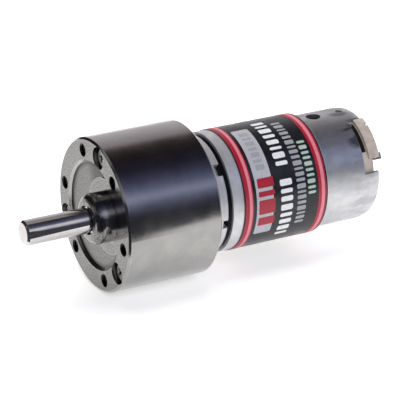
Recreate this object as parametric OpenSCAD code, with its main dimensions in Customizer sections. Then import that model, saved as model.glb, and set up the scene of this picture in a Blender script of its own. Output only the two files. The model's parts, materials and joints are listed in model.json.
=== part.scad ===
// Geared DC motor: offset spur gearbox on a round brushed motor.
// +X runs along the output shaft, away from the gearbox. +Z is up. The origin is the centre of
// the gearbox's mounting face. Millimetres throughout.

/* [Gearbox] */
// Diameter of the gearbox
gearbox_d = 37; // [36.8:0.1:38]
// Length of the gearbox from its mounting face to the motor adapter
gearbox_len = 24.2; // [24.2:0.1:26]
// Turn of the face pattern and the gear train about the gearbox axis
face_turn = 19.15; // [0:0.05:60]
// Thickness of the front plate
front_plate_t = 5; // [4.8:0.1:5]
// Thickness of the plate that closes the gearbox at the motor end
rear_plate_t = 3; // [2.6:0.1:3]
// Wall of the gear housing
housing_wall = 2.1; // [1.9:0.1:2.1]

/* [Mounting face] */
// Circle that the mounting holes and the case screws lie on
hole_pcd = 31; // [30.8:0.1:31.2]
// Radius of a tapped M3 mounting hole
hole_r = 1.25; // [1.2:0.05:1.4]
// Radius of the countersink at a mounting hole's mouth
hole_mouth_r = 1.6; // [1.5:0.05:1.8]
// Diameter of the shallow round recess
recess_d = 25.5; // [24:0.1:25.8]
// Depth of the recess
recess_depth = 0.8; // [0.5:0.1:1]
// Diameter of the collar around the shaft boss, flush with the face
collar_d = 18.2; // [17:0.1:19]
// Radius of a counterbore for a case screw
counterbore_r = 2.7; // [2.5:0.1:2.9]
// Depth of a counterbore
counterbore_depth = 2.7; // [2.4:0.1:3]

/* [Output shaft] */
// Diameter of the output shaft
shaft_d = 6; // [5:0.5:6]
// Reach of the shaft beyond the mounting face
shaft_reach = 21; // [16:0.5:30]
// Offset of the shaft from the gearbox axis
shaft_offset = 7; // [7:0.1:7.2]
// Diameter of the boss around the shaft
boss_d = 12; // [11:0.5:12]
// Height of the boss above the mounting face
boss_h = 5; // [4.5:0.1:6]
// Radius of the rounding on the boss's end
boss_round = 2; // [1:0.1:2.4]

/* [Gears] */
// Module of every gear
gear_module = 0.4; // [0.4]
// Pressure angle of the teeth
pressure_angle = 25; // [25]
// Distance from the motor axis to the first gear pin
first_centres = 9.2; // [9.2]
// Distance from the output axis to either gear pin
stage_centres = 8; // [8]
// Teeth on the motor's pinion
motor_teeth = 14; // [14]
// Teeth on the first wheel
first_wheel_teeth = 32; // [32]
// Teeth on each later pinion
pinion_teeth = 11; // [11]
// Teeth on each later wheel
wheel_teeth = 29; // [29]

/* [Motor] */
// Distance from the mounting face to the rear edge of the motor can
can_rear = 70.6; // [70:0.1:72]
// Outer diameter of the motor can
can_d = 27.7; // [27.4:0.1:27.9]
// Diameter of the adapter between the gearbox and the motor
adapter_d = 28.6; // [28.2:0.1:29]
// Thickness of the adapter
adapter_t = 4; // [3.8:0.1:4]
// Diameter of the flux ring rolled round the can
flux_d = 29.2; // [28.8:0.1:29.6]
// Length of the flux ring
flux_len = 25.9; // [24:0.1:26.5]
// Length of the label wrapped round the flux ring
label_len = 22.8; // [18:0.1:23]
// Thickness of the label
label_t = 0.14; // [0.1:0.01:0.2]
// Turn of the terminals about the motor axis
terminal_turn = 25; // [20:1:35]

/* [Hidden] */
$fn = 96;
eps = 0.01;
tiny = 0.1;
chamfer = 0.5;
small_chamfer = 0.25;
rounding_step = 15;
run_gap = 0.04;
screw_gap = 0.03;

// Radii
gearbox_r = gearbox_d / 2;
housing_bore_r = gearbox_r - housing_wall;
hole_ring_r = hole_pcd / 2;
recess_r = recess_d / 2;
recess_bevel = 0.5;
boss_r = boss_d / 2;
boss_lip = 0.7;
boss_lip_r = 3.5;
shaft_r = shaft_d / 2;
bushing_r = 4.3;
flange_r = 4.9;
pin_r = 1;
spacer_r = 1.6;
tail_r = 1;
case_screw_r = 1.5;
case_head_r = 2.4;
case_head_h = 1.7;
case_boss_r = 2.4;
case_boss_len = 5.4;
motor_screw_r = 1.25;
motor_screw_head_r = 2.3;
motor_screw_ring_r = 8;

// Places along X in the gearbox
plate_back = -front_plate_t;
cavity_back = -gearbox_len + rear_plate_t;
case_boss_back = plate_back - case_boss_len;
bushing_front = boss_h - boss_lip;
flange_t = 0.5;
output_gear_x = [-10, -6];
pinion_3_x = [-10.3, -5.8];
wheel_3_x = [-12.9, -10.7];
pinion_3_hub_back = -13.2;
pinion_2_x = [-13.4, -10.4];
wheel_2_x = [-15.7, -13.5];
pinion_2_hub_back = -16;
pinion_1_x = [-16.3, -13.3];
wheel_1_x = [-18.7, -16.9];
pinion_1_hub_back = -19.2;
motor_pinion_x = [-19.6, -16.6];
retaining_ring_x = [-16.5, -16.1];
hub_r = 2;
gear_bore_r = pin_r + run_gap;

// Gear train layout, before the face pattern is turned
pin_angle = acos((pow(first_centres, 2) - pow(shaft_offset, 2) - pow(stage_centres, 2))
    / (2 * shaft_offset * stage_centres));
output_axis = [shaft_offset, 0];
pin_1_axis = [shaft_offset + stage_centres * cos(pin_angle), stage_centres * sin(pin_angle)];
pin_2_axis = [pin_1_axis[0], -pin_1_axis[1]];
backlash = 0.08;
flank_steps = 3;
addendum = gear_module;
dedendum = 1.25 * gear_module;

// Tooth phases that put every pair in mesh at rest
motor_phase = direction([0, 0], pin_1_axis);
wheel_1_phase = meshed(motor_phase, motor_teeth, first_wheel_teeth, motor_phase);
pinion_1_phase = direction(pin_1_axis, output_axis);
wheel_2_phase = meshed(pinion_1_phase, pinion_teeth, wheel_teeth, pinion_1_phase);
pinion_2_phase = direction(output_axis, pin_2_axis);
wheel_3_phase = meshed(pinion_2_phase, pinion_teeth, wheel_teeth, pinion_2_phase);
pinion_3_phase = direction(pin_2_axis, output_axis);
output_phase = meshed(pinion_3_phase, pinion_teeth, wheel_teeth, pinion_3_phase);

// Places along X in the motor
adapter_front = -gearbox_len;
can_front = adapter_front - adapter_t;
can_back = -can_rear;
can_r = can_d / 2;
can_wall = 1;
can_bore_r = can_r - can_wall;
can_front_t = 1.2;
can_groove = 1.1;
can_boss_r = 4;
can_boss_front = cavity_back - 1.4;
can_lip_r = can_bore_r - 0.75;
can_lip_t = 1.2;
shoulder = 0.9;
shoulder_len = 2.8;
bearing_r = 3;
bearing_bore_r = 1 + run_gap;
bearing_len = 3.6;
bearing_lip_r = 2;
front_bearing_front = can_boss_front - 0.8;
flux_front = can_front - can_groove;
flux_back = flux_front - flux_len;
label_back = flux_back + 0.2;
notch_depth = 2.4;
notches = [[43, 3, 1.7], [-11, 2.1, 1.4]];
flux_gap_angle = 3;
magnet_x = [-58, -34];
magnet_inner_r = 9.4;
magnet_half_angle = 58;
clip_half_angle = 14;
clip_t = 1;
vent_x = -59.5;
vent_r = 1.8;
dimple_x = -66.8;
dimple_r = 0.9;
dimple_depth = 0.4;
cap_front = -62.5;
cap_floor = -67.5;
cap_back = can_back - 0.3;
cap_rim_back = can_back + can_lip_t;
cap_r = can_bore_r - 0.05;
cap_lug_r = can_r - 0.2;
cap_bore_r = 11.2;
cap_step_r = 10.2;
cap_boss_r = 5;
cap_boss_back = cap_back - 1.4;
rear_bearing_front = cap_floor - 0.4;
cut_depth = 4.4;
cut_angles = [9, 72];
cut_gap = 1.9;
lug_angles = [24, 71];
lug_root_r = cap_step_r - 0.5;
lug_slot_angles = [60, 63];
lug_slot_depth = 0.9;
window_angles = [32, 69];
window_x = [-67.9, -65.9];
terminal_r = 8;
terminal_w = 1.6;
terminal_t = 0.5;
terminal_hole_r = 0.4;
terminal_tip = -74.6;
brush_x = [-62.2, -59.4];
brush_w = 2.6;
brush_back_r = 5.8;
arm_t = 0.3;

// Rotor
rotor_shaft_r = 1;
rotor_shaft_x = [-71.4, -16.5];
core_x = [-54, -36];
core_r = 8.9;
core_hub_r = 3.4;
pole_count = 5;
pole_w = 2.6;
shoe_inner_r = 7.7;
shoe_gap_w = 1.8;
end_turn = 2.8;
insulator_t = 0.3;
commutator_x = [-63.4, -58.6];
commutator_r = 3.6;
commutator_base_r = 2.8;
commutator_slot = 0.35;
riser_r = 4.4;
riser_t = 0.7;

// Involute tooth outline, in degrees and millimetres
function involute_angle(base_r, r) = sqrt(pow(r / base_r, 2) - 1) * 180 / PI - acos(base_r / r);
function pitch_radius(teeth) = gear_module * teeth / 2;
function base_radius(teeth) = pitch_radius(teeth) * cos(pressure_angle);
function root_radius(teeth) = pitch_radius(teeth) - dedendum;
function tip_radius(teeth) = pitch_radius(teeth) + addendum;
function half_tooth(teeth) = 90 / teeth - backlash / 4 / pitch_radius(teeth) * 180 / PI;
function half_angle_at(teeth, r) = half_tooth(teeth)
    + involute_angle(base_radius(teeth), pitch_radius(teeth)) - involute_angle(base_radius(teeth), r);
function flank_radius(teeth, step) = let (low = max(base_radius(teeth), root_radius(teeth)) + eps)
    low + (tip_radius(teeth) - low) * step / flank_steps;
function polar(r, a) = [r * cos(a), r * sin(a)];
function tooth_side(teeth, side) = concat(
    [[root_radius(teeth), side * half_angle_at(teeth, flank_radius(teeth, 0))]],
    [for (step = [0:flank_steps])
        let (r = flank_radius(teeth, step)) [r, side * half_angle_at(teeth, r)]]);
function reversed(list) = [for (i = [len(list) - 1:-1:0]) list[i]];
function tooth_points(teeth) = concat(tooth_side(teeth, -1), reversed(tooth_side(teeth, 1)));
function gear_points(teeth, phase) = [for (i = [0:teeth - 1]) for (p = tooth_points(teeth))
    polar(p[0], p[1] + phase + i * 360 / teeth)];
function direction(from, to) = atan2(to[1] - from[1], to[0] - from[0]);
function meshed(phase, teeth, mate_teeth, heading) =
    heading + 180 - 180 / mate_teeth - (phase - heading) * teeth / mate_teeth;

// Puts a drawing's x and y on Y and Z, and its height on X
module axial(x) {
    translate([x, 0, 0]) rotate([90, 0, 90]) children();
}

module rod(x, r) {
    axial(x[0]) cylinder(h = x[1] - x[0], r = r);
}

module tube(x, r_out, r_in) {
    difference() {
        rod(x, r_out);
        rod([x[0] - eps, x[1] + eps], r_in);
    }
}

module turned(points) {
    axial(0) rotate_extrude() polygon(points);
}

// Slice of a disc between two angles
module sector(x, r, angles) {
    middle = (angles[0] + angles[1]) / 2;
    axial(x[0]) linear_extrude(x[1] - x[0])
        polygon([[0, 0], polar(r, angles[0]), polar(r / cos((angles[1] - angles[0]) / 2), middle),
            polar(r, angles[1])]);
}

// Block from radius r[0] to r[1] at an angle, w wide
module radial_block(x, r, w, angle) {
    rotate([angle, 0, 0]) translate([x[0], r[0], -w / 2]) cube([x[1] - x[0], r[1] - r[0], w]);
}

module face_pattern() {
    rotate([face_turn, 0, 0]) children();
}

module at_axis(axis) {
    face_pattern() translate([0, axis[0], axis[1]]) children();
}

module case_screw_places() {
    face_pattern() for (i = [0:2]) rotate([60 + 120 * i, 0, 0]) translate([0, hole_ring_r, 0]) children();
}

module motor_screw_places() {
    face_pattern() for (side = [90, -90])
        rotate([side, 0, 0]) translate([0, motor_screw_ring_r, 0]) children();
}

module spur_gear(x, teeth, phase, bore_r) {
    difference() {
        axial(x[0]) linear_extrude(x[1] - x[0]) polygon(gear_points(teeth, phase));
        rod([x[0] - eps, x[1] + eps], bore_r);
    }
}

// Pinion cut on the front of a hub that carries the next wheel
module hubbed_pinion(x, hub_back, phase) {
    spur_gear(x, pinion_teeth, phase, gear_bore_r);
    tube([hub_back, x[0] + eps], hub_r, gear_bore_r);
}

// Shallow recess with a bevelled edge, left as a crescent by the collar around the shaft boss
module face_recess() {
    difference() {
        turned([[0, -recess_depth], [recess_r, -recess_depth], [recess_r, -recess_bevel],
            [recess_r + recess_bevel, 0], [recess_r + recess_bevel, eps], [0, eps]]);
        at_axis(output_axis) rod([-recess_depth - eps, 2 * eps], collar_d / 2);
    }
}

// Front of the gearbox: mounting holes, counterbores, recess and shaft boss
module front_plate() {
    color([0.66, 0.65, 0.63]) difference() {
        union() {
            difference() {
                turned([[0, plate_back], [gearbox_r, plate_back], [gearbox_r, -chamfer],
                    [gearbox_r - chamfer, 0], [0, 0]]);
                face_recess();
            }
            at_axis(output_axis) turned(concat([[0, -recess_depth], [boss_r, -recess_depth]],
                [for (t = [0:rounding_step:90]) [boss_r - boss_round * (1 - cos(t)),
                    boss_h - boss_round * (1 - sin(t))]], [[0, boss_h]]));
        }
        at_axis(output_axis) rod([plate_back - eps, bushing_front], bushing_r);
        at_axis(output_axis) rod([0, boss_h + eps], boss_lip_r);
        for (axis = [pin_1_axis, pin_2_axis]) at_axis(axis) rod([plate_back - eps, -2], pin_r);
        face_pattern() for (i = [0:5]) rotate([30 + 60 * i, 0, 0]) translate([0, hole_ring_r, 0]) {
            rod([plate_back - eps, eps], hole_r);
            turned([[0, hole_r - hole_mouth_r], [hole_r, hole_r - hole_mouth_r],
                [hole_mouth_r, 0], [hole_mouth_r, eps], [0, eps]]);
        }
        case_screw_places() {
            rod([-counterbore_depth, eps], counterbore_r);
            rod([plate_back - eps, 0], case_screw_r + tiny);
        }
    }
}

// Round shell with three bosses for the case screws
module gear_housing() {
    color([0.6, 0.6, 0.6]) difference() {
        union() {
            tube([-gearbox_len, plate_back], gearbox_r, housing_bore_r);
            intersection() {
                case_screw_places() rod([case_boss_back, plate_back], case_boss_r);
                rod([case_boss_back, plate_back], housing_bore_r + tiny);
            }
        }
        case_screw_places() rod([case_boss_back - eps, plate_back + eps], case_screw_r + screw_gap);
        turned([[gearbox_r - chamfer, -gearbox_len - eps], [gearbox_r + eps, -gearbox_len - eps],
            [gearbox_r + eps, chamfer - gearbox_len]]);
    }
}

// Plate that carries the gear pins, the shaft's rear bushing and the motor
module rear_plate() {
    color([0.72, 0.71, 0.68]) difference() {
        rod([-gearbox_len, cavity_back], housing_bore_r);
        rod([-gearbox_len - eps, cavity_back + eps], can_boss_r + screw_gap);
        at_axis(output_axis) rod([-gearbox_len - eps, cavity_back + eps], hub_r);
        for (axis = [pin_1_axis, pin_2_axis])
            at_axis(axis) rod([-gearbox_len - eps, cavity_back + eps], pin_r);
        motor_screw_places() {
            rod([-gearbox_len - eps, cavity_back + eps], motor_screw_r + screw_gap);
            motor_screw_head(screw_gap, eps);
        }
    }
}

module motor_screw_head(gap, over) {
    turned([[0, cavity_back - motor_screw_head_r + motor_screw_r],
        [motor_screw_r + gap, cavity_back - motor_screw_head_r + motor_screw_r],
        [motor_screw_head_r + gap, cavity_back], [motor_screw_head_r + gap, cavity_back + over],
        [0, cavity_back + over]]);
}

module cross_recess(x, size, width, depth) {
    for (turn = [0, 90]) rotate([turn, 0, 0])
        translate([x - depth, -size / 2, -width / 2]) cube([depth + eps, size, width]);
}

// Three pan-head screws sunk in the front plate
module case_screws() {
    seat = -counterbore_depth;
    color([0.45, 0.45, 0.46]) case_screw_places() difference() {
        turned([[0, case_boss_back + 1], [case_screw_r - small_chamfer, case_boss_back + 1],
            [case_screw_r, case_boss_back + 1 + small_chamfer], [case_screw_r, seat],
            [case_head_r, seat], [case_head_r, seat + case_head_h - chamfer],
            [case_head_r - chamfer, seat + case_head_h], [0, seat + case_head_h]]);
        cross_recess(seat + case_head_h, 2.4, 0.6, 0.9);
    }
}

// Flanged sintered bushing in the shaft boss
module output_bushing_front() {
    color([0.62, 0.5, 0.32]) at_axis(output_axis) difference() {
        union() {
            rod([plate_back, bushing_front], bushing_r);
            rod([plate_back - flange_t, plate_back], flange_r);
        }
        rod([plate_back - flange_t - eps, bushing_front + eps], shaft_r + run_gap);
    }
}

module output_bushing_rear() {
    color([0.62, 0.5, 0.32]) at_axis(output_axis)
        tube([-gearbox_len, cavity_back], hub_r, tail_r + run_gap);
}

module gear_pin(axis) {
    color([0.75, 0.76, 0.78]) at_axis(axis) rod([-gearbox_len, -2], pin_r);
}

module gear_pin_1() {
    gear_pin(pin_1_axis);
}

module gear_pin_2() {
    gear_pin(pin_2_axis);
}

// Long spacers that hold each gear cluster in its own plane
module pin_spacers() {
    color([0.8, 0.68, 0.4]) {
        at_axis(pin_1_axis) tube([pinion_1_x[1] + tiny, plate_back], spacer_r, pin_r);
        at_axis(pin_2_axis) tube([cavity_back, pinion_3_hub_back - tiny], spacer_r, pin_r);
    }
}

module pin_washers() {
    color([0.8, 0.68, 0.4]) {
        at_axis(pin_1_axis) tube([cavity_back, pinion_1_hub_back - tiny], spacer_r, pin_r);
        at_axis(pin_2_axis) tube([pinion_3_x[1] + tiny, plate_back], spacer_r, pin_r);
    }
}

// Light metal disc between the gearbox and the motor, notched round its edge
module motor_adapter() {
    adapter_r = adapter_d / 2;
    color([0.78, 0.78, 0.79]) difference() {
        turned([[can_boss_r + tiny, can_front], [adapter_r - small_chamfer, can_front],
            [adapter_r, can_front + small_chamfer], [adapter_r, adapter_front],
            [can_boss_r + tiny, adapter_front]]);
        motor_screw_places() rod([can_front - eps, adapter_front + eps], motor_screw_r + tiny);
        for (turn = [0, 180]) for (notch = notches)
            radial_block([can_front - eps, can_front + notch[2]], [adapter_r - notch_depth, gearbox_r],
                notch[1], turn + notch[0]);
    }
}

module motor_screws() {
    color([0.45, 0.45, 0.46]) motor_screw_places() difference() {
        union() {
            rod([can_front - can_front_t - 1, cavity_back - 1], motor_screw_r);
            motor_screw_head(0, 0);
        }
        cross_recess(cavity_back, 2.2, 0.5, 0.8);
    }
}

// Outer corner of the can's rear edge, as a quarter of an ellipse
function rolled_edge() = [for (t = [0:rounding_step:90])
    [can_r - shoulder * (1 - cos(t)), can_back + shoulder_len * (1 - sin(t))]];

// Deep-drawn steel can with a bearing boss in front and a rolled rear edge
module motor_can() {
    color([0.6, 0.62, 0.66]) difference() {
        turned(concat([[bearing_lip_r, can_boss_front], [can_boss_r, can_boss_front],
            [can_boss_r, can_front], [can_r - chamfer, can_front], [can_r, can_front - chamfer]],
            rolled_edge(), [[can_lip_r, can_back], [can_lip_r, can_back + can_lip_t],
            [can_bore_r, can_back + can_lip_t], [can_bore_r, can_front - can_front_t],
            [bearing_r, can_front - can_front_t], [bearing_r, front_bearing_front],
            [bearing_lip_r, front_bearing_front]]));
        motor_screw_places() rod([can_front - can_front_t - eps, can_front + eps],
            motor_screw_r + screw_gap);
        for (turn = [0, 180]) {
            difference() {
                sector([can_back - eps, can_back + cut_depth], gearbox_r,
                    [cut_angles[0] + turn, cut_angles[1] + turn]);
                rod([can_back - 1, can_back + cut_depth + 1], can_lip_r - 0.5);
            }
            rotate([turn, 0, 0]) translate([vent_x, 0, can_r - 3]) cylinder(h = 4, r = vent_r);
            rotate([turn, 0, 0]) translate([dimple_x, 0, can_r - dimple_depth])
                cylinder(h = 2, r = dimple_r);
        }
    }
}

// Steel band rolled round the can, with its butt joint underneath
module flux_ring() {
    color([0.76, 0.76, 0.78]) difference() {
        tube([flux_back, flux_front], flux_d / 2, can_r);
        sector([flux_back - eps, flux_front + eps], gearbox_r,
            [-90 - flux_gap_angle / 2, -90 + flux_gap_angle / 2]);
    }
}

module label_sleeve() {
    color([0.08, 0.08, 0.09])
        tube([label_back, label_back + label_len], flux_d / 2 + label_t, flux_d / 2);
}

module magnet(middle) {
    color([0.25, 0.25, 0.27]) intersection() {
        tube(magnet_x, can_bore_r, magnet_inner_r);
        sector([magnet_x[0] - 1, magnet_x[1] + 1], can_r,
            [middle - magnet_half_angle, middle + magnet_half_angle]);
    }
}

module magnet_left() {
    magnet(0);
}

module magnet_right() {
    magnet(180);
}

// Sprung clips that press the magnets apart
module magnet_clips() {
    color([0.7, 0.7, 0.72]) for (middle = [90, 270]) intersection() {
        tube([magnet_x[0] + 2, magnet_x[1] - 2], can_bore_r, can_bore_r - clip_t);
        sector([magnet_x[0], magnet_x[1]], can_r,
            [middle - clip_half_angle, middle + clip_half_angle]);
    }
}

module front_bearing() {
    color([0.62, 0.5, 0.32])
        tube([front_bearing_front - bearing_len, front_bearing_front], bearing_r, bearing_bore_r);
}

module rear_bearing() {
    color([0.62, 0.5, 0.32])
        tube([rear_bearing_front - bearing_len, rear_bearing_front], bearing_r, bearing_bore_r);
}

// Moulded cap that closes the can and holds the brush gear
module end_cap() {
    color([0.85, 0.8, 0.7]) difference() {
        union() {
            turned([[cap_bore_r, cap_front], [cap_bore_r, cap_floor], [bearing_lip_r, cap_floor],
                [bearing_lip_r, rear_bearing_front], [bearing_r, rear_bearing_front],
                [bearing_r, cap_boss_back], [cap_boss_r - small_chamfer, cap_boss_back],
                [cap_boss_r, cap_boss_back + small_chamfer], [cap_boss_r, cap_back],
                [cap_step_r, cap_back], [cap_step_r, cap_rim_back + tiny],
                [cap_r, cap_rim_back + tiny], [cap_r, cap_front]]);
            for (turn = [0, 180]) intersection() {
                tube([cap_back, can_back + cut_depth - cut_gap], cap_lug_r, lug_root_r);
                sector([cap_back - 1, cap_front], gearbox_r,
                    [lug_angles[0] + turn, lug_angles[1] + turn]);
            }
        }
        for (turn = [0, 180]) {
            difference() {
                sector([cap_back - 1, cap_back + lug_slot_depth], gearbox_r,
                    [lug_slot_angles[0] + turn, lug_slot_angles[1] + turn]);
                rod([cap_back - 2, cap_back + 1], cap_step_r + tiny);
            }
            radial_block([cap_back - eps, cap_floor + eps],
                [terminal_r - terminal_t / 2, terminal_r + terminal_t / 2], terminal_w,
                terminal_turn + turn);
            difference() {
                sector(window_x, can_r, [window_angles[0] + turn, window_angles[1] + turn]);
                rod([window_x[0] - 1, window_x[1] + 1], cap_bore_r - tiny);
            }
        }
    }
}

module terminal(turn) {
    color([0.7, 0.66, 0.5]) rotate([terminal_turn + turn, 0, 0]) difference() {
        translate([terminal_tip, terminal_r - terminal_t / 2, -terminal_w / 2])
            cube([cap_floor - terminal_tip, terminal_t, terminal_w]);
        translate([terminal_tip + 1.4, terminal_r, 0]) rotate([90, 0, 0])
            cylinder(h = 2 * terminal_t, r = terminal_hole_r, center = true);
    }
}

module terminal_left() {
    terminal(0);
}

module terminal_right() {
    terminal(180);
}

// Leaf that carries a brush and ends on its terminal
module brush_arm(turn) {
    color([0.75, 0.55, 0.3]) rotate([terminal_turn + turn, 0, 0]) {
        translate([cap_floor, brush_back_r, -brush_w / 2])
            cube([brush_x[1] - cap_floor, arm_t, brush_w]);
        translate([cap_floor, brush_back_r, -brush_w / 2])
            cube([arm_t, terminal_r + terminal_t / 2 - brush_back_r, brush_w]);
    }
}

module brush_arm_left() {
    brush_arm(0);
}

module brush_arm_right() {
    brush_arm(180);
}

module brush(turn) {
    color([0.2, 0.2, 0.21]) rotate([terminal_turn + turn, 0, 0]) difference() {
        translate([brush_x[0], commutator_r - 0.5, -brush_w / 2])
            cube([brush_x[1] - brush_x[0], brush_back_r - commutator_r + 0.5, brush_w]);
        rod([brush_x[0] - eps, brush_x[1] + eps], commutator_r + run_gap);
    }
}

module brush_left() {
    brush(0);
}

module brush_right() {
    brush(180);
}

module rotor_shaft() {
    color([0.75, 0.76, 0.78]) turned([[0, rotor_shaft_x[0]],
        [rotor_shaft_r - small_chamfer, rotor_shaft_x[0]],
        [rotor_shaft_r, rotor_shaft_x[0] + small_chamfer], [rotor_shaft_r, rotor_shaft_x[1]],
        [0, rotor_shaft_x[1]]]);
}

module motor_pinion() {
    color([0.78, 0.65, 0.35]) face_pattern()
        spur_gear(motor_pinion_x, motor_teeth, motor_phase, rotor_shaft_r);
}

// Section of the laminations: hub, arms and pole shoes
module core_section(arm_w, shoe_r) {
    circle(r = core_hub_r);
    for (i = [0:pole_count - 1]) rotate(i * 360 / pole_count) {
        translate([0, -arm_w / 2]) square([shoe_r, arm_w]);
    }
}

module shoe_section() {
    difference() {
        circle(r = core_r);
        circle(r = shoe_inner_r);
        for (i = [0:pole_count - 1]) rotate((i + 0.5) * 360 / pole_count)
            translate([0, -shoe_gap_w / 2]) square([core_r + 1, shoe_gap_w]);
    }
}

module armature_core() {
    color([0.5, 0.5, 0.52]) difference() {
        axial(core_x[0]) linear_extrude(core_x[1] - core_x[0]) {
            core_section(pole_w, shoe_inner_r + tiny);
            shoe_section();
        }
        rod([core_x[0] - eps, core_x[1] + eps], rotor_shaft_r);
    }
}

// Paper-thin spiders between the laminations and the coils
module core_insulators() {
    color([0.5, 0.25, 0.15]) for (x = [core_x[0] - insulator_t, core_x[1]]) difference() {
        axial(x) linear_extrude(insulator_t) core_section(pole_w, shoe_inner_r);
        rod([x - eps, x + insulator_t + eps], rotor_shaft_r);
    }
}

// Copper in the slots, joined by the turns at both ends
module windings() {
    gap = 0.15;
    front = core_x[1] + insulator_t;
    back = core_x[0] - insulator_t;
    color([0.72, 0.4, 0.2]) {
        difference() {
            rod([back, front], shoe_inner_r - gap);
            axial(back - eps) linear_extrude(front - back + 2 * eps) offset_section(gap);
        }
        for (end = [[front, 1], [back, -1]]) turned([[core_hub_r + gap, end[0]],
            [shoe_inner_r - gap, end[0]], [shoe_inner_r - gap, end[0] + end[1] * end_turn * 0.6],
            [shoe_inner_r - 1, end[0] + end[1] * end_turn], [core_hub_r + 1, end[0] + end[1] * end_turn],
            [core_hub_r + gap, end[0] + end[1] * end_turn * 0.7]]);
    }
}

module offset_section(gap) {
    circle(r = core_hub_r + gap);
    for (i = [0:pole_count - 1]) rotate(i * 360 / pole_count)
        translate([0, -pole_w / 2 - gap]) square([core_r, pole_w + 2 * gap]);
}

module commutator_base() {
    color([0.25, 0.12, 0.08]) tube([commutator_x[0] - 0.4, commutator_x[1] + 0.6],
        commutator_base_r, rotor_shaft_r);
}

// Copper segments, each with a riser for its coil ends
module commutator_segments() {
    color([0.75, 0.45, 0.25]) difference() {
        union() {
            tube(commutator_x, commutator_r, commutator_base_r);
            tube([commutator_x[1] - riser_t, commutator_x[1]], riser_r, commutator_base_r);
        }
        for (i = [0:pole_count - 1]) radial_block([commutator_x[0] - 1, commutator_x[1] + 1],
            [0, riser_r + 1], commutator_slot, (i + 0.5) * 360 / pole_count);
    }
}

module rotor_washers() {
    color([0.85, 0.85, 0.8]) for (x = [can_front - can_front_t - 0.6, cap_floor + 0.2])
        tube([x, x + 0.4], 1.8, rotor_shaft_r);
}

module wheel(x, teeth, phase) {
    color([0.8, 0.68, 0.4]) spur_gear(x, teeth, phase, hub_r);
}

module pinion_1() {
    color([0.6, 0.6, 0.62]) at_axis(pin_1_axis)
        hubbed_pinion(pinion_1_x, pinion_1_hub_back, pinion_1_phase);
}

module wheel_1() {
    at_axis(pin_1_axis) wheel(wheel_1_x, first_wheel_teeth, wheel_1_phase);
}

module pinion_2() {
    color([0.6, 0.6, 0.62]) at_axis(output_axis)
        hubbed_pinion(pinion_2_x, pinion_2_hub_back, pinion_2_phase);
}

module wheel_2() {
    at_axis(output_axis) wheel(wheel_2_x, wheel_teeth, wheel_2_phase);
}

module pinion_3() {
    color([0.6, 0.6, 0.62]) at_axis(pin_2_axis)
        hubbed_pinion(pinion_3_x, pinion_3_hub_back, pinion_3_phase);
}

module wheel_3() {
    at_axis(pin_2_axis) wheel(wheel_3_x, wheel_teeth, wheel_3_phase);
}

// Shaft with a relief inside the boss lip and a slim tail that cluster two turns on
module output_shaft() {
    relief = [bushing_front + tiny, boss_h];
    color([0.85, 0.85, 0.86]) at_axis(output_axis) turned([[0, -gearbox_len + 0.3],
        [tail_r, -gearbox_len + 0.3], [tail_r, output_gear_x[0]], [shaft_r, output_gear_x[0]],
        [shaft_r, relief[0]], [shaft_r - small_chamfer, relief[0]],
        [shaft_r - small_chamfer, relief[1]], [shaft_r, relief[1]],
        [shaft_r, shaft_reach - chamfer], [shaft_r - chamfer, shaft_reach], [0, shaft_reach]]);
}

module output_gear() {
    color([0.6, 0.6, 0.62]) at_axis(output_axis)
        spur_gear(output_gear_x, wheel_teeth, output_phase, shaft_r);
}

module output_washer() {
    color([0.85, 0.85, 0.8]) at_axis(output_axis)
        tube([output_gear_x[1], plate_back - flange_t - tiny], flange_r - 0.2, shaft_r);
}

module retaining_ring() {
    color([0.3, 0.3, 0.32]) at_axis(output_axis) tube(retaining_ring_x, hub_r, tail_r);
}

front_plate();
gear_housing();
rear_plate();
case_screws();
output_bushing_front();
output_bushing_rear();
gear_pin_1();
gear_pin_2();
pin_spacers();
pin_washers();
motor_adapter();
motor_screws();
motor_can();
flux_ring();
label_sleeve();
magnet_left();
magnet_right();
magnet_clips();
front_bearing();
rear_bearing();
end_cap();
brush_left();
brush_right();
brush_arm_left();
brush_arm_right();
terminal_left();
terminal_right();
rotor_shaft();
motor_pinion();
armature_core();
core_insulators();
windings();
commutator_base();
commutator_segments();
rotor_washers();
pinion_1();
wheel_1();
pinion_2();
wheel_2();
pinion_3();
wheel_3();
output_shaft();
output_gear();
output_washer();
retaining_ring();
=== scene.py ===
import itertools
import json
import math

import bmesh
import bpy
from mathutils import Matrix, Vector


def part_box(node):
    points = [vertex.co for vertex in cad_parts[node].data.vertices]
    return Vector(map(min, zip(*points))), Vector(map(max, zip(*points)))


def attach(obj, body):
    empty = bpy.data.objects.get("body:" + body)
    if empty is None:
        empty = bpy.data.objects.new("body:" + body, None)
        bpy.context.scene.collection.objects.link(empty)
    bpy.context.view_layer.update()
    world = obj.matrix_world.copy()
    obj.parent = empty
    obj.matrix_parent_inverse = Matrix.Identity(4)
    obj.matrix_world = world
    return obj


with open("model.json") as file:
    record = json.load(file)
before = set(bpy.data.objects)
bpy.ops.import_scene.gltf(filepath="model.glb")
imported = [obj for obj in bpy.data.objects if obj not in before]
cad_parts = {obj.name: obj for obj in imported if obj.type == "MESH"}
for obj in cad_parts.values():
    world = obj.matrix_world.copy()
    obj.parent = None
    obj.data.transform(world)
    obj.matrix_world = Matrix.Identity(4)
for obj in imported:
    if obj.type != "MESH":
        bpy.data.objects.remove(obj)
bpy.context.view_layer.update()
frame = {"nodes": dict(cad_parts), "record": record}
nodes = frame["nodes"]
BODY = "motor_body"

# ---------------------------------------------------------------- places, all from the frame

MM = 0.001


def reach(node):
    """The largest radius of a round node about the motor axis."""
    low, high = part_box(node)
    return max(high.y, high.z, -low.y, -low.z)


def span(node):
    """The lowest and highest X of a node."""
    low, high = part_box(node)
    return low.x, high.x


def centre(node):
    """The Y and Z of the middle of a node's box."""
    low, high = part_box(node)
    return (low.y + high.y) / 2, (low.z + high.z) / 2


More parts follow.
